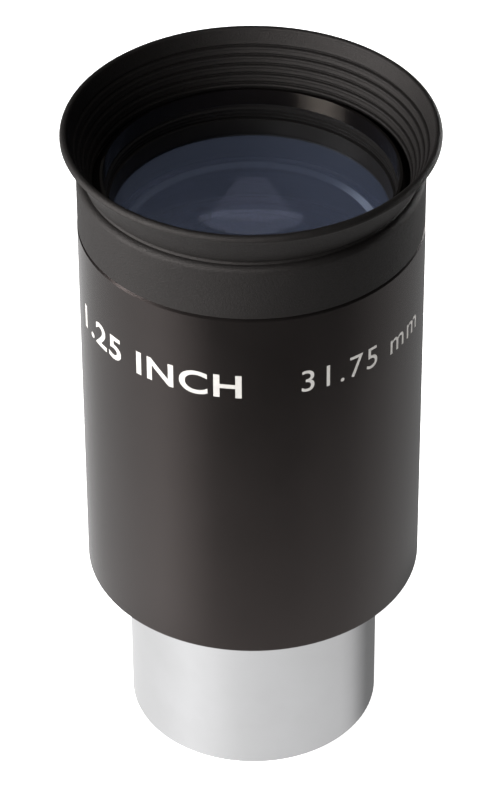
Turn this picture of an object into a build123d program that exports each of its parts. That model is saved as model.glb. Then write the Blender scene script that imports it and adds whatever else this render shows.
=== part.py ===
"""A 1.25 inch telescope eyepiece: two cemented doublets in a threaded cell, a
black body shell, a bright nosepiece and a fold-down rubber eyecup.

Millimetres. +Z is the optical axis, towards the eye. The origin is the centre
of the nosepiece's lower end.
"""

from build123d import *
import os
from math import sqrt

os.makedirs("parts", exist_ok=True)

# ---------------------------------------------------------------- dimensions

# Outside
nosepiece_radius = 15.875  # 1.25 inch across
nosepiece_length = 23.5
body_radius = 21.1
body_top = 74.9
skirt_radius = 21.05
lip_radius = 22.84
overall_height = 87.8

# Optics: two equal doublets, crowns facing each other
lens_radius = 17.25
lens_bevel = 0.25
aperture_radius = 16.85
cemented_radius = 37.7
crown_radius = 33.2
flint_centre = 2.0
crown_centre = 10.15
cement_thickness = 0.05
doublet_gap = 0.6
washer_thickness = 0.25
field_stop_radius = 13.5
field_stop_height = 21.3

# Heights up the optical axis
field_ring_top = 50.0
field_flint_bottom = field_ring_top + washer_thickness
cemented_vertex = field_flint_bottom + flint_centre
crown_lower_vertex = cemented_vertex + cement_thickness
crown_upper_vertex = crown_lower_vertex + crown_centre
optics_middle = crown_upper_vertex + doublet_gap / 2
eye_flint_top = 2 * optics_middle - field_flint_bottom

# Bores and walls
nosepiece_bore = 13.7
spigot_bore = 14.46
body_bore = 18.85
cell_radius = 18.35
cell_bore = 17.35
collar_radius = 20.0

# Small sizes shared by several pieces
seat_clearance = 0.05
edge_break = 0.2


# ------------------------------------------------------------------- threads

class Thread:
    """A screw thread drawn as rings: each turn has a flat crest, a flat root
    and two flanks. A screw and its nut share one outline, and the nut's is
    moved outwards by the clearance."""

    flat_share = 0.2
    flank_share = 0.3
    clearance = 0.06

    def __init__(self, crest, root, pitch, bottom, turns):
        self.crest = crest
        self.root = root
        self.pitch = pitch
        self.bottom = bottom
        self.turns = turns
        self.top = bottom + turns * pitch
        self.nut = crest + self.clearance

    def up_the_screw(self, turns=None, moved_out=0.0):
        """(radius, height) points up the thread."""
        crest = self.crest + moved_out
        root = self.root + moved_out
        flat = self.flat_share * self.pitch
        flank = self.flank_share * self.pitch
        points = [(crest, self.bottom)]
        for turn in range(turns or self.turns):
            start = self.bottom + turn * self.pitch
            points += [(crest, start + flat), (root, start + flat + flank)]
            points += [(root, start + 2 * flat + flank), (crest, start + self.pitch)]
        return points

    def down_the_nut(self):
        """(radius, height) points down the inside of the matching nut."""
        return list(reversed(self.up_the_screw(moved_out=self.clearance)))

    def down_the_bore(self):
        """(radius, height) points down a grooved bore that no screw fills."""
        return list(reversed(self.up_the_screw()))


stop_thread = Thread(crest=14.4, root=14.15, pitch=0.5, bottom=18.9, turns=4)
nosepiece_thread = Thread(crest=15.5, root=15.1, pitch=0.75, bottom=25.0, turns=6)
cell_thread = Thread(crest=19.15, root=18.8, pitch=0.75, bottom=67.0, turns=8)
field_ring_thread = Thread(crest=17.65, root=17.4, pitch=0.5, bottom=47.4, turns=4)
eye_ring_thread = Thread(crest=17.65, root=17.4, pitch=0.5, bottom=76.0, turns=6)
eye_end_thread = Thread(crest=18.35, root=18.1, pitch=0.5, bottom=77.0, turns=4)

# In these two open bores the crest is the bore and the root is the groove.
filter_thread = Thread(crest=13.93, root=14.25, pitch=0.6, bottom=0.7, turns=7)
glare_thread = Thread(crest=17.3, root=17.6, pitch=0.9, bottom=33.0, turns=12)


# ------------------------------------------------------------------- helpers

def turn_outline(points):
    """Revolves a closed (radius, height) outline into the part under way."""
    with BuildSketch(Plane.XZ) as section:
        with BuildLine():
            Polyline(*points, close=True)
        make_face()
    revolve(section.sketch, axis=Axis.Z)


def extrude_ring(bottom, inner, outer, height):
    """Adds a plain flat ring to the part under way."""
    with BuildSketch(Plane.XY.offset(bottom)) as ring:
        Circle(outer)
        Circle(inner, mode=Mode.SUBTRACT)
    extrude(ring.sketch, amount=height)


def cut_spanner_slots(radius, height, depth, width=1.2, length=3.0):
    """Cuts two slots across a ring's face, one on each side."""
    with BuildSketch(Plane.XY.offset(height)) as slots:
        with PolarLocations(radius, 2):
            Rectangle(length, width)
    extrude(slots.sketch, amount=depth, both=True, mode=Mode.SUBTRACT)


def sag(sphere_radius, off_axis):
    """How far a sphere falls away from its vertex at this distance off the axis."""
    return sphere_radius - sqrt(sphere_radius**2 - off_axis**2)


def lens_surface(vertex, sphere_radius, side):
    """A lens surface from the axis to the lens's edge, curving up from its
    vertex (side 1) or down (side -1)."""
    halfway = lens_radius / 2
    return ThreePointArc(
        (0, vertex),
        (halfway, vertex + side * sag(sphere_radius, halfway)),
        (lens_radius, vertex + side * sag(sphere_radius, lens_radius)),
    )


# ----------------------------------------------------------------- nosepiece

stop_ring_seat = 18.5  # the step that the field stop ring sits on
nosepiece_shoulder = 23.8  # where it seats in the body's counterbore
shoulder_radius = 15.7
shoulder_bevel = nosepiece_radius - shoulder_radius
nosepiece_top = 30.5
mouth_radius = 14.4
mouth_depth = 0.3
nosepiece_rim_rounding = 0.4

with BuildPart() as nosepiece:
    turn_outline(
        [(mouth_radius, 0.0), (nosepiece_radius, 0.0), (nosepiece_radius, nosepiece_length)]
        + [(shoulder_radius, nosepiece_length + shoulder_bevel), (shoulder_radius, nosepiece_shoulder)]
        + [(nosepiece_thread.root, nosepiece_shoulder), (nosepiece_thread.root, nosepiece_thread.bottom)]
        + nosepiece_thread.up_the_screw()
        + [(nosepiece_thread.root, nosepiece_top), (spigot_bore, nosepiece_top)]
        + stop_thread.down_the_nut()
        + [(spigot_bore, stop_ring_seat), (nosepiece_bore, stop_ring_seat)]
        + [(nosepiece_bore, filter_thread.top + edge_break)]
        + filter_thread.down_the_bore()
        + [(mouth_radius, mouth_depth)]
    )
    lower_edges = nosepiece.edges().filter_by(GeomType.CIRCLE).group_by(Axis.Z)[0]
    fillet(lower_edges.sort_by(SortBy.RADIUS)[-1], radius=nosepiece_rim_rounding)

# The field stop bounds the field of view: its bore narrows to a knife edge at
# the focus of the optics.
stop_ring_top = 21.6
stop_ring_foot = 13.85

with BuildPart() as field_stop_ring:
    turn_outline(
        [(stop_ring_foot, stop_ring_seat), (stop_thread.root, stop_ring_seat)]
        + [(stop_thread.root, stop_thread.bottom)]
        + stop_thread.up_the_screw()
        + [(stop_thread.root, stop_thread.top + edge_break), (stop_thread.root, stop_ring_top)]
        + [(stop_ring_foot, stop_ring_top), (field_stop_radius, field_stop_height)]
        + [(field_stop_radius, field_stop_height - edge_break)]
    )
    cut_spanner_slots(stop_ring_foot, stop_ring_top, depth=0.3)

# ---------------------------------------------------------------------- body

counterbore_radius = nosepiece_radius + seat_clearance
body_floor_top = 31.2
cell_relief_bottom = 66.2  # where the narrower plain bore ends
body_lower_bevel = 0.15
body_upper_bevel = 0.35

with BuildPart() as body_shell:
    turn_outline(
        [(nosepiece_thread.nut, nosepiece_shoulder), (counterbore_radius, nosepiece_shoulder)]
        + [(counterbore_radius, nosepiece_length), (body_radius, nosepiece_length)]
        + [(body_radius, body_top), (cell_thread.nut + edge_break, body_top)]
        + [(cell_thread.nut, body_top - edge_break)]
        + cell_thread.down_the_nut()
        + [(cell_thread.nut, cell_relief_bottom), (body_bore, cell_relief_bottom)]
        + [(body_bore, body_floor_top), (nosepiece_thread.nut, body_floor_top)]
        + nosepiece_thread.down_the_nut()
    )
    outer_edges = body_shell.edges().filter_by(GeomType.CIRCLE).group_by(SortBy.RADIUS)[-1]
    chamfer(outer_edges.sort_by(Axis.Z)[0], length=body_lower_bevel)
    chamfer(outer_edges.sort_by(Axis.Z)[-1], length=body_upper_bevel)

# A blackened sleeve, with a lip at its foot and fine ridges against glare.
cell_bottom = 45.0
sleeve_radius = body_bore - 2 * seat_clearance
sleeve_lip_radius = 15.2
sleeve_lip_top = 32.0

with BuildPart() as baffle_sleeve:
    turn_outline(
        [(sleeve_lip_radius, body_floor_top), (sleeve_radius, body_floor_top)]
        + [(sleeve_radius, cell_bottom), (glare_thread.crest, cell_bottom)]
        + glare_thread.down_the_bore()
        + [(glare_thread.crest, sleeve_lip_top), (sleeve_lip_radius, sleeve_lip_top)]
    )

# ----------------------------------------------------------------- lens cell

collar_top = 76.3
cell_top = 79.4
eye_ring_recess = 75.6

with BuildPart() as lens_cell:
    turn_outline(
        [(field_ring_thread.nut, cell_bottom), (cell_radius, cell_bottom)]
        + [(cell_radius, cell_relief_bottom), (cell_thread.root, cell_thread.bottom)]
        + cell_thread.up_the_screw()
        + [(cell_thread.root, cell_thread.top + edge_break), (cell_thread.root, body_top)]
        + [(collar_radius, body_top), (collar_radius, collar_top)]
        + [(eye_end_thread.root, collar_top), (eye_end_thread.root, eye_end_thread.bottom)]
        + eye_end_thread.up_the_screw()
        + [(eye_end_thread.root, cell_top), (eye_ring_thread.nut, cell_top)]
        + eye_ring_thread.down_the_nut()
        + [(eye_ring_thread.nut, eye_ring_recess), (cell_bore, eye_ring_recess)]
        + [(cell_bore, field_ring_top), (field_ring_thread.nut, field_ring_top)]
        + field_ring_thread.down_the_nut()
    )

field_ring_bottom = 47.0
field_ring_flare = 17.15

with BuildPart() as field_retaining_ring:
    turn_outline(
        [(field_ring_flare, field_ring_bottom), (field_ring_thread.root, field_ring_bottom)]
        + [(field_ring_thread.root, field_ring_thread.bottom)]
        + field_ring_thread.up_the_screw()
        + [(field_ring_thread.root, field_ring_top), (aperture_radius, field_ring_top)]
        + [(aperture_radius, field_ring_top - edge_break)]
    )
    cut_spanner_slots(lens_radius, field_ring_bottom, depth=0.8)

eye_ring_bottom = eye_flint_top + washer_thickness
eye_ring_turns = 3
eye_ring_top = eye_ring_thread.bottom + eye_ring_turns * eye_ring_thread.pitch
eye_ring_foot = cell_bore - seat_clearance
eye_ring_flare = 17.15

with BuildPart() as eye_retaining_ring:
    turn_outline(
        [(aperture_radius, eye_ring_bottom), (eye_ring_foot, eye_ring_bottom)]
        + [(eye_ring_foot, eye_ring_thread.bottom)]
        + eye_ring_thread.up_the_screw(turns=eye_ring_turns)
        + [(eye_ring_flare, eye_ring_top), (aperture_radius, eye_ring_bottom + edge_break)]
    )
    cut_spanner_slots(lens_radius, eye_ring_top, depth=0.7)

# -------------------------------------------------------------------- optics

washer_inner = aperture_radius + seat_clearance
washer_outer = lens_radius - seat_clearance

with BuildPart() as field_lens_washer:
    extrude_ring(field_ring_top, washer_inner, washer_outer, washer_thickness)

with BuildPart() as eye_lens_washer:
    extrude_ring(eye_flint_top, washer_inner, washer_outer, washer_thickness)

with BuildPart() as field_flint:
    with BuildSketch(Plane.XZ):
        with BuildLine():
            hollow = lens_surface(cemented_vertex, cemented_radius, 1)
            Polyline(
                hollow @ 1,
                (lens_radius, field_flint_bottom + lens_bevel),
                (lens_radius - lens_bevel, field_flint_bottom),
                (0, field_flint_bottom),
                hollow @ 0,
            )
        make_face()
    revolve(axis=Axis.Z)

with BuildPart() as field_cement:
    with BuildSketch(Plane.XZ):
        with BuildLine():
            lower = lens_surface(cemented_vertex, cemented_radius, 1)
            upper = lens_surface(crown_lower_vertex, cemented_radius, 1)
            Line(lower @ 0, upper @ 0)
            Line(lower @ 1, upper @ 1)
        make_face()
    revolve(axis=Axis.Z)

with BuildPart() as field_crown:
    with BuildSketch(Plane.XZ):
        with BuildLine():
            lower = lens_surface(crown_lower_vertex, cemented_radius, 1)
            upper = lens_surface(crown_upper_vertex, crown_radius, -1)
            Line(lower @ 0, upper @ 0)
            Line(lower @ 1, upper @ 1)
        make_face()
    revolve(axis=Axis.Z)

# The eye doublet is the field doublet turned over.
middle_plane = Plane.XY.offset(optics_middle)

with BuildPart() as eye_flint:
    mirror(field_flint.part, about=middle_plane)

with BuildPart() as eye_cement:
    mirror(field_cement.part, about=middle_plane)

with BuildPart() as eye_crown:
    mirror(field_crown.part, about=middle_plane)

# The spacer rests on each crown along the edge of its own bore.
spacer_bore = 16.4
spacer_bottom = crown_upper_vertex - sag(crown_radius, spacer_bore) + 0.4 * seat_clearance
spacer_height = 2 * (optics_middle - spacer_bottom)

with BuildPart() as lens_spacer:
    extrude_ring(spacer_bottom, spacer_bore, washer_outer, spacer_height)

# ------------------------------------------------------------------- eye end

end_ring_top = 81.4
end_ring_ledge = cell_top + seat_clearance
bore_at_ledge = 17.6
bore_at_top = 17.87
crown_wall_radius = 18.2  # the thin upstanding edge round the eye lens
crown_wall_bottom = 80.7
rim_radius = 19.3
rim_top = 80.1
groove_radius = 18.95  # the groove that the rubber's bead sits in
groove_bottom = 77.3
groove_top = 79.3

with BuildPart() as eye_end_ring:
    turn_outline(
        [(eye_end_thread.nut, collar_top), (collar_radius, collar_top)]
        + [(collar_radius, groove_bottom), (groove_radius, groove_bottom)]
        + [(groove_radius, groove_top), (rim_radius, groove_top), (rim_radius, rim_top)]
        + [(crown_wall_radius, crown_wall_bottom), (crown_wall_radius, end_ring_top)]
        + [(bore_at_top, end_ring_top), (bore_at_ledge, end_ring_ledge)]
        + [(eye_end_thread.nut, end_ring_ledge)]
        + eye_end_thread.down_the_nut()
    )

# -------------------------------------------------------------------- eyecup

# One rubber moulding, in three solids: the skirt grips the eye-end ring, the
# flare bends when the cup is folded, and the lip travels down past the skirt.
skirt_bottom = body_top + seat_clearance
shoulder_rounding = 0.8
shoulder_top = 82.2
notch_radius = 20.12
notch_bottom = shoulder_top + edge_break
notch_top = 82.65
flare_bottom = (20.45, 82.9)
flare_middle = (21.36, 84.9)
flare_top = (lip_radius, 87.15)
lip_outer_shoulder = (22.66, 87.66)
lip_crest = (22.22, overall_height)
lip_inner_shoulder = (22.0, 87.7)
band_top = (21.9, 87.45)
ribbed_top = (21.45, 86.1)
ribbed_middle = (20.15, 83.6)
ribbed_bottom = (19.1, 80.85)
rib_count = 5
rib_groove = 0.17
fold_height = 86.3
fold_gap = 0.05


def build_eyecup():
    """The whole eyecup, from the skirt's lower edge to the lip."""
    with BuildSketch(Plane.XZ) as section:
        with BuildLine():
            side = Line((skirt_radius, skirt_bottom), (skirt_radius, shoulder_top - shoulder_rounding))
            shoulder_end = (skirt_radius - shoulder_rounding, shoulder_top)
            shoulder = RadiusArc(side @ 1, shoulder_end, -shoulder_rounding)
            notch = Polyline(
                shoulder @ 1,
                (notch_radius, notch_bottom),
                (notch_radius, notch_top),
                flare_bottom,
            )
            ThreePointArc(notch @ 1, flare_middle, flare_top)
            ThreePointArc(flare_top, lip_outer_shoulder, lip_crest)
            ThreePointArc(lip_crest, lip_inner_shoulder, band_top)
            Line(band_top, ribbed_top)
            ribbed_wall = ThreePointArc(ribbed_top, ribbed_middle, ribbed_bottom)
            Polyline(
                ribbed_bottom,
                (rim_radius + 2 * seat_clearance, rim_top),
                (rim_radius + 2 * seat_clearance, groove_top - seat_clearance),
                (groove_radius + seat_clearance, groove_top - seat_clearance),
                (groove_radius + seat_clearance, groove_bottom + seat_clearance),
                (collar_radius + 2 * seat_clearance, groove_bottom + seat_clearance),
                (collar_radius + 2 * seat_clearance, skirt_bottom),
                side @ 0,
            )
        make_face()
        for rib in range(rib_count):
            with Locations(ribbed_wall @ ((rib + 0.37) / rib_count)):
                Circle(rib_groove, mode=Mode.SUBTRACT)
    revolve(section.sketch, axis=Axis.Z)


with BuildPart() as eyecup_skirt:
    build_eyecup()
    split(bisect_by=Plane.XY.offset(notch_bottom), keep=Keep.BOTTOM)

with BuildPart() as eyecup_flare:
    build_eyecup()
    split(bisect_by=Plane.XY.offset(notch_bottom), keep=Keep.TOP)
    split(bisect_by=Plane.XY.offset(fold_height - fold_gap), keep=Keep.BOTTOM)

with BuildPart() as eyecup_lip:
    build_eyecup()
    split(bisect_by=Plane.XY.offset(fold_height), keep=Keep.TOP)

# --------------------------------------------------------------------- files

pieces = {
    "nosepiece": nosepiece,
    "field_stop_ring": field_stop_ring,
    "body_shell": body_shell,
    "baffle_sleeve": baffle_sleeve,
    "lens_cell": lens_cell,
    "field_retaining_ring": field_retaining_ring,
    "field_lens_washer": field_lens_washer,
    "field_flint": field_flint,
    "field_cement": field_cement,
    "field_crown": field_crown,
    "lens_spacer": lens_spacer,
    "eye_crown": eye_crown,
    "eye_cement": eye_cement,
    "eye_flint": eye_flint,
    "eye_lens_washer": eye_lens_washer,
    "eye_retaining_ring": eye_retaining_ring,
    "eye_end_ring": eye_end_ring,
    "eyecup_skirt": eyecup_skirt,
    "eyecup_flare": eyecup_flare,
    "eyecup_lip": eyecup_lip,
}

for name, piece in pieces.items():
    piece.part.label = name
    export_step(piece.part, f"parts/{name}.step")
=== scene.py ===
"""The looks of a 1.25 inch telescope eyepiece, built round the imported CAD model.

Metres, in the CAD model's frame. +Z is the optical axis, towards the eye.
"""

import math

import bmesh
import bpy
from mathutils import Matrix, Vector


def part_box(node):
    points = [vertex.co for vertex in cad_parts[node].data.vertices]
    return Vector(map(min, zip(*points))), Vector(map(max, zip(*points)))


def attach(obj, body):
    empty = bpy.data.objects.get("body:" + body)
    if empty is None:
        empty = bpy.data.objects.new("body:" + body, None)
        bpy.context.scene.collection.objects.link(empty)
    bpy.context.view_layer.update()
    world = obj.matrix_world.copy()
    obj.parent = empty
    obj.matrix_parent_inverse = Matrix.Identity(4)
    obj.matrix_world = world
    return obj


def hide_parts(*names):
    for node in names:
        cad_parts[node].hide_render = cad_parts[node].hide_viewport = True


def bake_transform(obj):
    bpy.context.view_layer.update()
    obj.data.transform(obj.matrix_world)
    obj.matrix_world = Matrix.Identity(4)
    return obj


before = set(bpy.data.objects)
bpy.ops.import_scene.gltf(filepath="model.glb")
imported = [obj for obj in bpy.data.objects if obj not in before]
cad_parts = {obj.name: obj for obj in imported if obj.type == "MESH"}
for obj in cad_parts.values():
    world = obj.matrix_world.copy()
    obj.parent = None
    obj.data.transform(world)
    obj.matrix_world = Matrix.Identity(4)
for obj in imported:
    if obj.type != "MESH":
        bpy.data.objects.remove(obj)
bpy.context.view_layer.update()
MM = 0.001

# ---------------------------------------------------------------- dimensions

ROUND_STEPS = 256  # steps round each revolved piece

# The camera stands at the photograph's viewing angle.
CAMERA_DISTANCE = 0.51687
CAMERA_ELEVATION = math.radians(37.616)
CAMERA_ROLL = math.radians(-0.302)
CAMERA_LENS = 188.03
SENSOR_LONG_SIDE = 36.0
LOOK_AT = Vector((-0.000283, 0.0, 0.04744))


# ------------------------------------------------------------- node building

def new_material(name):
    """An empty node material and its tree, with an output node."""
    material = bpy.data.materials.new(name)
    material.use_nodes = True
    tree = material.node_tree
    tree.nodes.clear()
    tree.nodes.new("ShaderNodeOutputMaterial")
    return material, tree


def link(tree, source, target):
    tree.links.new(source, target)


def node(tree, kind, settings=None, **inputs):
    """A node with its settings and inputs filled in. An input that is a
    socket is linked, and any other is set."""
    made = tree.nodes.new(kind)
    for key, value in (settings or {}).items():
        setattr(made, key, value)
    for key, value in inputs.items():
        socket = made.inputs[key.replace("_", " ")]
        if isinstance(value, bpy.types.NodeSocket):
            link(tree, value, socket)
        else:
            socket.default_value = value
    return made


def show(tree, shader_output):
    """Joins a shader to the material's output."""
    link(tree, shader_output, tree.nodes["Material Output"].inputs["Surface"])


def surface(tree, **inputs):
    """The Principled shader, joined to the output."""
    shader = node(tree, "ShaderNodeBsdfPrincipled", **inputs)
    show(tree, shader.outputs["BSDF"])


def place(tree, scale=(1, 1, 1)):
    """Object coordinates, stretched."""
    coordinates = node(tree, "ShaderNodeTexCoord")
    mapping = node(tree, "ShaderNodeMapping", Vector=coordinates.outputs["Object"], Scale=scale)
    return mapping.outputs["Vector"]


def noise(tree, vector, scale, detail=4.0, roughness=0.5):
    """A noise value from 0 to 1."""
    made = node(
        tree, "ShaderNodeTexNoise", Vector=vector, Scale=scale, Detail=detail, Roughness=roughness
    )
    return made.outputs["Fac"]


def spread(tree, value, low, high, start=0.3, end=0.7):
    """Stretches a 0 to 1 value over low to high."""
    made = node(
        tree,
        "ShaderNodeMapRange",
        Value=value,
        **{"From Min": start, "From Max": end, "To Min": low, "To Max": high},
    )
    return made.outputs["Result"]


def blend_colours(tree, value, first, second, start=0.3, end=0.7):
    """A colour between two, by a value."""
    ramp = tree.nodes.new("ShaderNodeValToRGB")
    ramp.color_ramp.elements[0].position = start
    ramp.color_ramp.elements[0].color = (*first, 1)
    ramp.color_ramp.elements[1].position = end
    ramp.color_ramp.elements[1].color = (*second, 1)
    link(tree, value, ramp.inputs["Fac"])
    return ramp.outputs["Color"]


def bump(tree, height, strength, distance, normal=None):
    """A bumped normal. Distance is in metres."""
    made = node(tree, "ShaderNodeBump", Height=height, Strength=strength, Distance=distance)
    if normal is not None:
        link(tree, normal, made.inputs["Normal"])
    return made.outputs["Normal"]


def turned_metal(name, dark, light, metallic, roughness, line_depth=4e-7, **more):
    """Lathe-turned metal: fine lines round the axis, in the bump and in the
    roughness, with a faint mottle from the anodising or plating."""
    material, tree = new_material(name)
    rings = noise(tree, place(tree, (0.02, 0.02, 1)), 9000.0, detail=3.0, roughness=0.65)
    cloud = noise(tree, place(tree), 90.0, detail=5.0, roughness=0.6)
    grain = noise(tree, place(tree), 26000.0, detail=2.0)
    low, high = roughness
    rough = node(tree, "ShaderNodeMath", {"operation": "ADD"})
    link(tree, spread(tree, rings, low, high), rough.inputs[0])
    link(tree, spread(tree, cloud, -0.01, 0.02), rough.inputs[1])
    fine = bump(tree, grain, 0.25, 1.2e-6)
    surface(
        tree,
        **{
            "Base Color": blend_colours(tree, cloud, dark, light),
            "Metallic": metallic,
            "Roughness": rough.outputs["Value"],
            "Normal": bump(tree, rings, 0.5, line_depth, fine),
        },
        **more,
    )
    return material


# ----------------------------------------------------------------- materials

nosepiece_metal = turned_metal(
    "satin_nosepiece",
    (0.64, 0.64, 0.645),
    (0.68, 0.68, 0.69),
    1.0,
    (0.15, 0.20),
    line_depth=5e-7,
)
body_metal = turned_metal(
    "anodised_body",
    (0.0034, 0.0030, 0.0028),
    (0.0048, 0.0042, 0.0040),
    0.0,
    (0.22, 0.25),
    **{"Specular Tint": (1.0, 0.83, 0.79, 1)},
)
end_ring_metal = turned_metal(
    "glossy_end_ring",
    (0.0012, 0.0010, 0.0010),
    (0.0020, 0.0017, 0.0017),
    0.0,
    (0.07, 0.11),
    **{"Specular Tint": (1.0, 0.86, 0.74, 1)},
)
blackened_metal = turned_metal(
    "blackened_metal",
    (0.0080, 0.0072, 0.0070),
    (0.0115, 0.0104, 0.0101),
    0.0,
    (0.36, 0.46),
    line_depth=2e-6,
    **{"Specular IOR Level": 0.32},
)


def rubber_material():
    """Moulded rubber: a fine matt grain and a soft mottling."""
    material, tree = new_material("moulded_rubber")
    grain = noise(tree, place(tree), 3800.0, detail=4.0, roughness=0.75)
    cloud = noise(tree, place(tree), 120.0, detail=5.0, roughness=0.6)
    dark, light = (0.0030, 0.0026, 0.0025), (0.0045, 0.0040, 0.0038)
    surface(
        tree,
        **{
            "Base Color": blend_colours(tree, cloud, dark, light),
            "Roughness": spread(tree, grain, 0.54, 0.70),
            "Specular IOR Level": 0.36,
            "Specular Tint": (1.0, 0.93, 0.90, 1),
            "Normal": bump(tree, grain, 0.9, 1e-4),
        },
    )
    return material


def glass_material():
    """Coated optical glass. The part that doesn't transmit gives the coating's
    blue haze."""
    material, tree = new_material("coated_glass")
    cloud = noise(tree, place(tree), 60.0, detail=3.0)
    surface(
        tree,
        **{
            "Base Color": blend_colours(tree, cloud, (0.29, 0.35, 0.53), (0.31, 0.37, 0.55)),
            "Transmission Weight": 0.85,
            "IOR": 1.52,
            "Specular Tint": (0.38, 0.44, 0.55, 1),
            "Roughness": 0.0,
        },
    )
    return material


def film_material():
    """Thin black plastic sheet."""
    material, tree = new_material("washer_film")
    cloud = noise(tree, place(tree), 800.0)
    surface(
        tree,
        **{
            "Base Color": blend_colours(tree, cloud, (0.02, 0.02, 0.02), (0.03, 0.03, 0.03)),
            "Roughness": spread(tree, cloud, 0.4, 0.55),
            "Normal": bump(tree, cloud, 0.2, 4e-6),
        },
    )
    return material


def print_material():
    """Screen-printed paint, slightly uneven."""
    material, tree = new_material("white_print")
    cloud = noise(tree, place(tree), 4000.0, detail=4.0)
    surface(
        tree,
        **{
            "Base Color": blend_colours(tree, cloud, (0.35, 0.335, 0.315), (0.41, 0.395, 0.375)),
            "Roughness": spread(tree, cloud, 0.45, 0.6),
            "Normal": bump(tree, cloud, 0.15, 3e-6),
        },
    )
    return material


rubber = rubber_material()
glass = glass_material()
film = film_material()
white_print = print_material()

node_materials = {
    nosepiece_metal: ["nosepiece"],
    body_metal: ["body_shell"],
    end_ring_metal: ["eye_end_ring"],
    blackened_metal: [
        "field_stop_ring",
        "baffle_sleeve",
        "lens_cell",
        "field_retaining_ring",
        "eye_retaining_ring",
        "lens_spacer",
    ],
    film: ["field_lens_washer", "eye_lens_washer"],
}
for material, names in node_materials.items():
    for name in names:
        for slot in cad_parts[name].material_slots:
            slot.material = material


# ------------------------------------------------------------ revolved pieces

def circle_through(start, middle, end):
    """The centre and radius of the circle through three points."""
    (ax, ay), (bx, by), (cx, cy) = start, middle, end
    a_square, b_square, c_square = ax**2 + ay**2, bx**2 + by**2, cx**2 + cy**2
    double_area = 2 * (ax * (by - cy) + bx * (cy - ay) + cx * (ay - by))
    x = (a_square * (by - cy) + b_square * (cy - ay) + c_square * (ay - by)) / double_area
    y = (a_square * (cx - bx) + b_square * (ax - cx) + c_square * (bx - ax)) / double_area
    return (x, y), math.hypot(ax - x, ay - y)


def arc(start, middle, end, steps):
    """Points along the circle through three points, without the first."""
    centre, radius = circle_through(start, middle, end)
    first, half_way, last = (
        math.atan2(y - centre[1], x - centre[0]) for x, y in (start, middle, end)
    )
    turn = (last - first) % math.tau
    if (half_way - first) % math.tau > turn:
        turn -= math.tau
    angles = [first + turn * step / steps for step in range(1, steps + 1)]
    return [
        (centre[0] + radius * math.cos(angle), centre[1] + radius * math.sin(angle)) for angle in angles
    ]


def line(start, end, steps):
    """Points along a straight line, without the first."""
    across, rise = end[0] - start[0], end[1] - start[1]
    shares = [step / steps for step in range(1, steps + 1)]
    return [(start[0] + across * share, start[1] + rise * share) for share in shares]


SHARP_EDGE = math.radians(32)  # steeper folds than this show as edges
ON_AXIS = 1e-6


def revolve(name, outline, material):
    """A closed mesh turned round Z from a closed (radius, height) outline in
    millimetres. A point on the axis becomes a single vertex."""
    mesh = bmesh.new()
    rings = []
    for radius, height in outline:
        if radius < ON_AXIS:
            rings.append([mesh.verts.new((0, 0, height * MM))] * ROUND_STEPS)
            continue
        ring = []
        for step in range(ROUND_STEPS):
            angle = math.tau * step / ROUND_STEPS
            ring.append(
                mesh.verts.new(
                    (radius * MM * math.cos(angle), radius * MM * math.sin(angle), height * MM)
                )
            )
        rings.append(ring)
    for low, high in zip(rings, rings[1:] + rings[:1]):
        for step in range(ROUND_STEPS):
            after = (step + 1) % ROUND_STEPS
            # On the axis, two corners are the same vertex.
            corners = list(dict.fromkeys([low[step], low[after], high[after], high[step]]))
            if len(corners) > 2:
                mesh.faces.new(corners)
    bmesh.ops.recalc_face_normals(mesh, faces=mesh.faces)
    data = bpy.data.meshes.new(name)
    mesh.to_mesh(data)
    mesh.free()
    data.shade_smooth()
    data.set_sharp_from_angle(angle=SHARP_EDGE)
    data.materials.append(material)
    made = bpy.data.objects.new(name, data)
    bpy.context.scene.collection.objects.link(made)
    return made


# ---------------------------------------------------------------- the eyecup

# Radius and height, and all other lengths here, are in millimetres.
RIBBED_TOP, RIBBED_MIDDLE, RIBBED_BOTTOM = (21.45, 86.1), (20.15, 83.6), (19.1, 80.85)
RIBBED_LENGTH = 5.75
RIB_STEPS = 150  # steps down the ribbed wall
PLAIN_STEP = 5  # the ungrooved stretches keep one point in this many
RIBS = 5
FIRST_RIB = 0.37  # of the way down the first fifth of the wall
GROOVE_WIDTH, GROOVE_DEPTH = 0.40, 0.27
RIDGE_WIDTH, RIDGE_HEIGHT = 0.36, 0.07
INTO_RUBBER = (0.95, -0.42)  # about at right angles to the ribbed wall


def hump(along, width, height):
    """Height of a rounded hump that starts at along = 0, or 0.0 outside it."""
    return height * math.sin(math.pi * along / width) if 0 < along < width else 0.0


def ribbed_wall():
    """Points down the inner wall, with its moulded grooves and the low ridge
    under each."""
    points = []
    for index, (radius, height) in enumerate(arc(RIBBED_TOP, RIBBED_MIDDLE, RIBBED_BOTTOM, RIB_STEPS)):
        share = (index + 1) / RIB_STEPS
        depth = 0.0
        for rib in range(RIBS):
            along = (share - (rib + FIRST_RIB) / RIBS) * RIBBED_LENGTH + GROOVE_WIDTH / 2
            depth += hump(along, GROOVE_WIDTH, GROOVE_DEPTH)
            depth -= hump(along - GROOVE_WIDTH, RIDGE_WIDTH, RIDGE_HEIGHT)
        if depth or index % PLAIN_STEP == PLAIN_STEP - 1:
            points.append((radius + depth * INTO_RUBBER[0], height + depth * INTO_RUBBER[1]))
    return points


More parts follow.
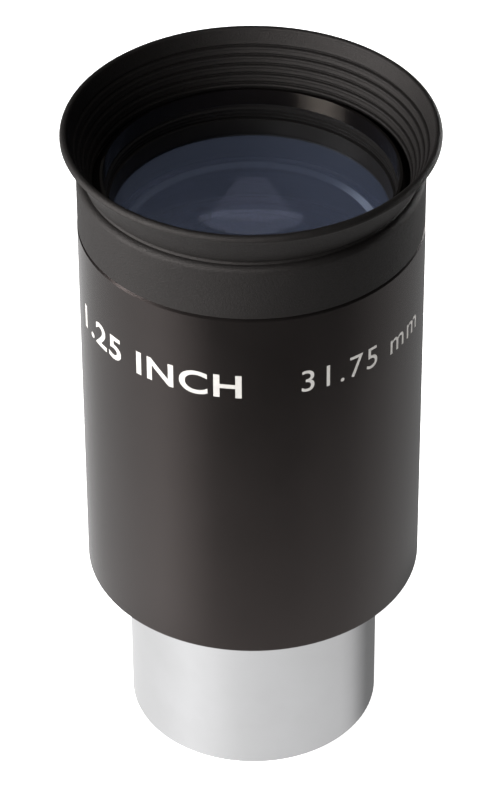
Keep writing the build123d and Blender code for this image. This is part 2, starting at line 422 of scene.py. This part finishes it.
def eyecup_outline():
    """The moulding's outline in millimetres, as the CAD model has it, with
    softened corners and deeper grooves."""
    points = [(21.05, 75.0), (21.05, 75.1)]
    points += line(points[-1], (21.05, 81.4), 12)
    points += arc((21.05, 81.4), (20.816, 81.966), (20.25, 82.2), 10)
    points += line(points[-1], (20.14, 82.38), 2)
    points += [(20.12, 82.43), (20.12, 82.6), (20.15, 82.66)]
    points += line(points[-1], (20.42, 82.88), 2)
    points += arc((20.45, 82.9), (21.36, 84.9), (22.84, 87.15), 36)
    points += arc((22.84, 87.15), (22.66, 87.66), (22.22, 87.8), 10)
    points += arc((22.22, 87.8), (22.0, 87.7), (21.9, 87.45), 6)
    points += line(points[-1], RIBBED_TOP, 12)
    points += ribbed_wall()
    points += [(19.38, 80.12), (19.4, 80.08), (19.4, 79.25)]
    points += [(19.0, 79.25), (19.0, 77.35)]
    points += [(20.1, 77.35), (20.1, 74.97), (20.12, 74.95), (21.0, 74.95)]
    return points


eyecup = revolve("eyecup_rubber_moulding", eyecup_outline(), rubber)
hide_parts("eyecup_skirt", "eyecup_flare", "eyecup_lip")
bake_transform(eyecup)


# ------------------------------------------------------------- the doublets

DOME_RADIUS, LENS_RADIUS, LENS_BEVEL = 33.2, 17.25, 0.25  # in millimetres
DOME_STEPS = 150


def doublet_outline(flat_height, vertex_height):
    """A cemented doublet: flat on one side, domed on the other, with a small
    bevel round the flat."""
    side = 1 if vertex_height > flat_height else -1
    points = []
    for step in range(DOME_STEPS + 1):
        off_axis = LENS_RADIUS * step / DOME_STEPS
        fall = DOME_RADIUS - math.sqrt(DOME_RADIUS**2 - off_axis**2)
        points.append((off_axis, vertex_height - side * fall))
    points += line(points[-1], (LENS_RADIUS, flat_height + side * LENS_BEVEL), 4)
    points += [(LENS_RADIUS - LENS_BEVEL, flat_height)]
    points += line(points[-1], (0.0, flat_height), 16)
    return points


lens_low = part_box("field_flint")[0].z / MM
lens_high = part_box("eye_flint")[1].z / MM
field_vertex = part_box("field_crown")[1].z / MM
eye_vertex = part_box("eye_crown")[0].z / MM
for name, flat, vertex, stands_for in (
    ("field_doublet", lens_low, field_vertex, ("field_flint", "field_cement", "field_crown")),
    ("eye_doublet", lens_high, eye_vertex, ("eye_crown", "eye_cement", "eye_flint")),
):
    doublet = revolve(name, doublet_outline(flat, vertex), glass)
    # The ground edge is blackened.
    doublet.data.materials.append(blackened_metal)
    for face in doublet.data.polygons:
        if abs(face.normal.z) < 0.5:
            face.material_index = 1
    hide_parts(*stands_for)
    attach(doublet, "barrel")


# ----------------------------------------------------------------- the print

PRINT_PROUD = 0.012 * MM
LONGEST_PRINT_EDGE = 0.06  # of the font's size, so that the letters can bend


def wrapped_text(name, words, height, middle_angle, base, spacing, weight, wide):
    """Pale lettering printed round the body. The angle is in degrees from the
    front, towards +X, and the height and base are in metres."""
    body_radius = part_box("body_shell")[1].x
    curve = bpy.data.curves.new(name, "FONT")
    curve.body = words
    curve.align_x = "CENTER"
    curve.size = 1.0
    curve.space_character = spacing
    curve.offset = weight
    curve.resolution_u = 6
    text = bpy.data.objects.new(name + "_curve", curve)
    bpy.context.scene.collection.objects.link(text)
    bpy.context.view_layer.update()
    flat = bpy.data.meshes.new_from_object(text.evaluated_get(bpy.context.evaluated_depsgraph_get()))
    bpy.data.objects.remove(text)
    mesh = bmesh.new()
    mesh.from_mesh(flat)
    heights = [vertex.co.y for vertex in mesh.verts]
    scale = height / (max(heights) - min(0.0, min(heights)))
    bmesh.ops.triangulate(mesh, faces=mesh.faces)
    long_edges = [edge for edge in mesh.edges if edge.calc_length() > LONGEST_PRINT_EDGE]
    bmesh.ops.subdivide_edges(mesh, edges=long_edges, cuts=3)
    bmesh.ops.triangulate(mesh, faces=mesh.faces)
    for vertex in mesh.verts:
        angle = math.radians(middle_angle) + vertex.co.x * scale * wide / body_radius
        radius = body_radius + PRINT_PROUD
        vertex.co = (
            radius * math.sin(angle),
            -radius * math.cos(angle),
            base + vertex.co.y * scale,
        )
    mesh.to_mesh(flat)
    mesh.free()
    flat.materials.clear()
    flat.materials.append(white_print)
    made = bpy.data.objects.new(name, flat)
    bpy.context.scene.collection.objects.link(made)
    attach(made, "barrel")


wrapped_text(
    "print_size_inches", "1.25 INCH", height=0.0034, middle_angle=-39.0, base=0.0634,
    spacing=1.10, weight=0.02, wide=1.20,
)
wrapped_text(
    "print_size_millimetres", "31.75 mm", height=0.0031, middle_angle=43.0, base=0.0636,
    spacing=1.16, weight=0.0, wide=1.0,
)


# --------------------------------------------------------------- the studio

OBJECT_MIDDLE = Vector((0, 0, 0.05))


def area_light(name, location, size, power, aim=OBJECT_MIDDLE):
    """A soft rectangular lamp that faces a point, with its power in watts."""
    data = bpy.data.lights.new(name, "AREA")
    data.shape = "RECTANGLE"
    data.size, data.size_y = size
    data.energy = power
    made = bpy.data.objects.new(name, data)
    made.location = location
    made.rotation_mode = "QUATERNION"
    made.rotation_quaternion = (aim - Vector(location)).to_track_quat("-Z", "Y")
    bpy.context.scene.collection.objects.link(made)
    return made


def polar(azimuth, elevation, distance):
    """A point seen from the body's middle. Azimuth is in degrees from the
    front, towards +X."""
    side, rise = math.radians(azimuth), math.radians(elevation)
    level = distance * math.cos(rise)
    away = (level * math.sin(side), -level * math.cos(side), distance * math.sin(rise))
    return OBJECT_MIDDLE + Vector(away)


left_softbox = area_light("left_softbox", polar(-74, 17, 0.55), (0.34, 0.30), 6.7)
front_softbox = area_light("front_softbox", polar(-30, 20, 0.60), (0.30, 0.20), 2.2)
right_rim = area_light("right_rim", polar(140, -1, 0.60), (0.36, 0.08), 2.2)
back_panel = area_light("back_panel", polar(180, 34, 0.90), (1.20, 0.70), 0.1)
top_softbox = area_light("top_softbox", (0.0, 0.0, 0.75), (0.50, 0.35), 2.0)
top_softbox.visible_glossy = False
for lamp in (left_softbox, front_softbox, right_rim, back_panel, top_softbox):
    lamp.visible_transmission = False

# The softbox's second reflection, off the lens and then off the end ring. The
# lamp stands low on the left, shines up at the ring, and only the ring sees it.
GLINT_FROM = (-0.0805, -0.0484, 0.046)
GLINT_AIM = Vector((0.009, 0.015, 0.0805))  # on the ring's bore, behind on the right
ring_glint = area_light("ring_glint", GLINT_FROM, (0.048, 0.022), 0.28, aim=GLINT_AIM)
ring_glint.data.use_shadow = False
ring_only = bpy.data.collections.new("ring_only")
ring_only.objects.link(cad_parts["eye_end_ring"])
ring_glint.light_linking.receiver_collection = ring_only
ring_glint.light_linking.blocker_collection = ring_only

world = bpy.data.worlds.new("studio")
world.use_nodes = True
background = world.node_tree.nodes["Background"]
background.inputs["Color"].default_value = (1, 1, 1, 1)
background.inputs["Strength"].default_value = 0.03
bpy.context.scene.world = world


def stage_mesh(name, points, faces, material):
    """A mesh that isn't part of the object."""
    data = bpy.data.meshes.new(name)
    data.from_pydata(points, [], faces)
    data.materials.append(material)
    made = bpy.data.objects.new(name, data)
    bpy.context.scene.collection.objects.link(made)
    return made


def hide_except(made, kind):
    """Only one kind of ray sees this object: camera, glossy or transmission."""
    made.visible_camera = kind == "camera"
    made.visible_diffuse = False
    made.visible_shadow = False
    made.visible_glossy = kind == "glossy"
    made.visible_transmission = kind == "transmission"


FLOOR_HALF = 3.0
WALL_HEIGHT = 2.0
FLOOR_LIFT = 1.0  # the white sweep's own light, which hides the shadow
LIFT_FROM, LIFT_TO = 0.0150, 0.0156  # it fades in just inside the nosepiece's edge

# The sweep glows, except under the eyepiece itself.
floor_material, floor_tree = new_material("white_floor")
floor_place = node(floor_tree, "ShaderNodeTexCoord")
from_axis = node(floor_tree, "ShaderNodeVectorMath", {"operation": "LENGTH"})
link(floor_tree, floor_place.outputs["Object"], from_axis.inputs[0])
lift = node(
    floor_tree,
    "ShaderNodeMapRange",
    Value=from_axis.outputs["Value"],
    **{"From Min": LIFT_FROM, "From Max": LIFT_TO, "To Min": 0.0, "To Max": FLOOR_LIFT},
)
surface(
    floor_tree,
    **{
        "Base Color": (0.9, 0.9, 0.9, 1),
        "Roughness": 0.9,
        "Specular IOR Level": 0.0,
        "Emission Color": (1, 1, 1, 1),
        "Emission Strength": lift.outputs["Result"],
    },
)
around = ((-1, -1), (1, -1), (1, 1), (-1, 1))
floor_corners = [(x * FLOOR_HALF, y * FLOOR_HALF, 0.0) for x, y in around]
floor = stage_mesh("floor", floor_corners, [(0, 1, 2, 3)], floor_material)
floor.visible_glossy = False

# A plain white wall round the floor, for low views.
wall_material, wall_tree = new_material("white_wall")
wall_glow = node(wall_tree, "ShaderNodeEmission", Strength=1.0)
show(wall_tree, wall_glow.outputs["Emission"])
wall_points = floor_corners + [(x, y, WALL_HEIGHT) for x, y, _ in floor_corners]
wall_faces = [(side, (side + 1) % 4, (side + 1) % 4 + 4, side + 4) for side in range(4)]
wall = stage_mesh("wall", wall_points, wall_faces, wall_material)
hide_except(wall, "camera")

# The painted reflection of the floor in the nosepiece and in the body: how bright
# the floor looks there, by the angle round them in degrees from the front: bright
# on the left, where the softbox lights it, and dark behind on the right.
NOSEPIECE_MIRRORS = (
    (-90, 0.90), (-72, 0.97), (-48, 1.07), (-32, 1.19), (-19, 1.10), (-7, 0.94), (5, 0.85), (18, 0.80),
    (31, 0.75), (46, 0.69), (53, 0.57), (60, 0.36), (67, 0.21), (90, 0.17),
)
BODY_MIRRORS = (
    (-90, 1.05), (-78, 0.90), (-64, 0.80), (-57, 0.90), (-43, 1.14), (-32, 1.50), (-25, 1.22),
    (-13, 0.44), (-4, 0.30), (4, 0.28), (13, 0.27), (22, 0.36), (32, 0.37), (43, 0.50), (56, 0.53),
    (79, 0.30), (90, 0.24),
)
BODY_FADE = 12.0  # how fast the body's reflection dims with distance, per metre
BODY_FADE_FROM, BODY_FADE_TO = 0.065, 0.100
DARKEST_MIRROR = 0.05
NOSEPIECE_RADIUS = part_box("nosepiece")[1].x
BODY_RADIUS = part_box("body_shell")[1].x
# The nosepiece mirrors the floor out to here, and the body mirrors it beyond.
NOSEPIECE_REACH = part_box("body_shell")[0].z / math.tan(CAMERA_ELEVATION)
REACH_BLEND = 0.005
HALVINGS = 14  # of the range in which the mirror angle is sought


def mirror_angle(x, y, radius):
    """The angle round an upright cylinder at which the camera sees this point
    of the floor mirrored, and how far the point is from the mirror."""
    distance = math.hypot(x, y)
    azimuth = math.atan2(x, -y)
    side = math.copysign(1.0, azimuth)
    low, high = abs(azimuth) / 2, min(abs(azimuth), math.pi / 2)
    for _ in range(HALVINGS):
        middle = (low + high) / 2
        if distance * math.sin(2 * middle - abs(azimuth)) < radius * math.sin(middle):
            low = middle
        else:
            high = middle
    angle = side * middle
    reach = math.hypot(x - radius * math.sin(angle), y + radius * math.cos(angle))
    return math.degrees(angle), reach


def between_stops(stops, value):
    """A value read off a list of stops, joined by straight lines."""
    for (start, low), (end, high) in zip(stops, stops[1:]):
        if value <= end:
            return low + (high - low) * max(value - start, 0.0) / (end - start)
    return stops[-1][1]


def painted_floor_brightness(x, y):
    """The painted reflection's brightness at this point of the floor: how bright it looks in the
    object.
    """
    angle, reach = mirror_angle(x, y, NOSEPIECE_RADIUS)
    near = between_stops(NOSEPIECE_MIRRORS, angle)
    angle, body_reach = mirror_angle(x, y, BODY_RADIUS)
    fade = BODY_FADE * (min(body_reach, BODY_FADE_TO) - BODY_FADE_FROM)
    fade *= math.cos(math.radians(angle)) ** 2
    far = max(between_stops(BODY_MIRRORS, angle) - fade, DARKEST_MIRROR)
    share = min(max((reach - NOSEPIECE_REACH) / REACH_BLEND, 0.0), 1.0)
    return near + (far - near) * share


# What the object mirrors of the floor: a glowing disc that is no lamp, with the lit
# floor's brightness painted on it as a painted reflection. Only reflections see this disc.
GLOW_SPOKES, GLOW_RINGS = 240, 70
GLOW_INNER, GLOW_OUTER = 0.0155, 0.9
GLOW_HEIGHT = 0.0001
painted_reflection_material, glow_tree = new_material("painted_floor_reflection")
glow_emission = node(glow_tree, "ShaderNodeEmission")
glow_colour = node(glow_tree, "ShaderNodeAttribute", {"attribute_name": "glow"})
link(glow_tree, glow_colour.outputs["Fac"], glow_emission.inputs["Strength"])
show(glow_tree, glow_emission.outputs["Emission"])
glow_points = []
for ring in range(GLOW_RINGS):
    radius = GLOW_INNER * (GLOW_OUTER / GLOW_INNER) ** (ring / (GLOW_RINGS - 1))
    for spoke in range(GLOW_SPOKES):
        angle = math.tau * spoke / GLOW_SPOKES
        glow_points.append((radius * math.sin(angle), -radius * math.cos(angle), GLOW_HEIGHT))
glow_faces = []
for ring in range(GLOW_RINGS - 1):
    for spoke in range(GLOW_SPOKES):
        here, there = ring * GLOW_SPOKES, (ring + 1) * GLOW_SPOKES
        after = (spoke + 1) % GLOW_SPOKES
        glow_faces.append((here + spoke, here + after, there + after, there + spoke))
glow = stage_mesh("painted_floor_reflection", glow_points, glow_faces, painted_reflection_material)
hide_except(glow, "glossy")
brightness = glow.data.attributes.new("glow", "FLOAT", "POINT")
for index, (x, y, _) in enumerate(glow_points):
    brightness.data[index].value = painted_floor_brightness(x, y)


def painted_ghost(name, points, faces, colour, strengths):
    """A painted reflection in the lens: a glow that only shows in the glass, with a
    strength at each point. It adds to what is behind it."""
    ghost_material, tree = new_material(name)
    strength = node(tree, "ShaderNodeAttribute", {"attribute_name": "glow"})
    emission = node(tree, "ShaderNodeEmission", Color=(*colour, 1), Strength=strength.outputs["Fac"])
    clear = node(tree, "ShaderNodeBsdfTransparent")
    both = node(tree, "ShaderNodeAddShader")
    link(tree, emission.outputs["Emission"], both.inputs[0])
    link(tree, clear.outputs["BSDF"], both.inputs[1])
    show(tree, both.outputs["Shader"])
    made = stage_mesh(name, points, faces, ghost_material)
    hide_except(made, "transmission")
    glow_values = made.data.attributes.new("glow", "FLOAT", "POINT")
    for index, value in enumerate(strengths):
        glow_values.data[index].value = value


# Two glowing panels overhead, which are no lamps, show as painted ghost reflections in the lens.
PANEL_HEIGHT = 0.75
TAPERED_CORNERS = ((-0.11, -0.30), (0.09, -0.30), (0.34, 0.23), (-0.34, 0.23))
TAPERED_GLOW = 4.3
tapered = [(x, y, PANEL_HEIGHT) for x, y in TAPERED_CORNERS]
painted_ghost("painted_tapered_ghost", tapered, [(0, 1, 2, 3)], (0.95, 0.72, 0.54), [TAPERED_GLOW] * 4)

OVAL_STEPS = 64
OVAL_HALF_WIDTH, OVAL_HALF_DEPTH, OVAL_MIDDLE = 0.45, 0.18, 0.27
OVAL_HEIGHT = PANEL_HEIGHT + 0.01
OVAL_GLOW = 5.2
oval = []
for step in range(OVAL_STEPS):
    turn = math.tau * step / OVAL_STEPS
    y = OVAL_MIDDLE + OVAL_HALF_DEPTH * math.sin(turn)
    oval.append((OVAL_HALF_WIDTH * math.cos(turn), y, OVAL_HEIGHT))
painted_ghost("painted_oval_ghost", oval, [tuple(range(OVAL_STEPS))], (1.0, 0.80, 0.59), [OVAL_GLOW] * OVAL_STEPS)

# A painted glint for the light that the glass's ground rim scatters: a glowing thin
# sloping band round the far side, with one bright place. Angles are in degrees from the front.
RIM_STEPS = 120
RIM_FROM, RIM_SPAN = 95, 165
RIM_EDGES = ((15.2, 66.95), (16.1, 67.4))  # the band's radius and height, in millimetres
RIM_FAINT, RIM_BRIGHT = 0.02, 0.22
BRIGHT_ANGLE, BRIGHT_SPREAD = 117, 14
rim_points, rim_faces, rim_strengths = [], [], []
for step in range(RIM_STEPS + 1):
    turn = RIM_FROM + RIM_SPAN * step / RIM_STEPS
    side = math.radians(turn)
    for radius, height in RIM_EDGES:
        rim_points.append((radius * MM * math.sin(side), -radius * MM * math.cos(side), height * MM))
    away = (turn - BRIGHT_ANGLE) / BRIGHT_SPREAD
    rim_strengths += [RIM_FAINT + RIM_BRIGHT * math.exp(-(away**2))] * len(RIM_EDGES)
    if step:
        rim_faces.append((2 * step - 2, 2 * step - 1, 2 * step + 1, 2 * step))
painted_ghost("painted_rim_glint", rim_points, rim_faces, (0.9, 0.95, 1.0), rim_strengths)


# --------------------------------------------------------------- the camera

forward = Vector((0, math.cos(CAMERA_ELEVATION), -math.sin(CAMERA_ELEVATION)))
level_right = Vector((1, 0, 0))
level_up = level_right.cross(forward)
right = level_right * math.cos(CAMERA_ROLL) + level_up * math.sin(CAMERA_ROLL)
up = level_up * math.cos(CAMERA_ROLL) - level_right * math.sin(CAMERA_ROLL)
camera_data = bpy.data.cameras.new("camera")
camera_data.sensor_width = SENSOR_LONG_SIDE
camera_data.lens = CAMERA_LENS
camera = bpy.data.objects.new("camera", camera_data)
facing = Matrix((right, up, -forward)).transposed().to_4x4()
camera.matrix_world = Matrix.Translation(LOOK_AT - forward * CAMERA_DISTANCE) @ facing
bpy.context.scene.collection.objects.link(camera)
bpy.context.scene.camera = camera
bpy.context.scene.view_settings.view_transform = "Standard"
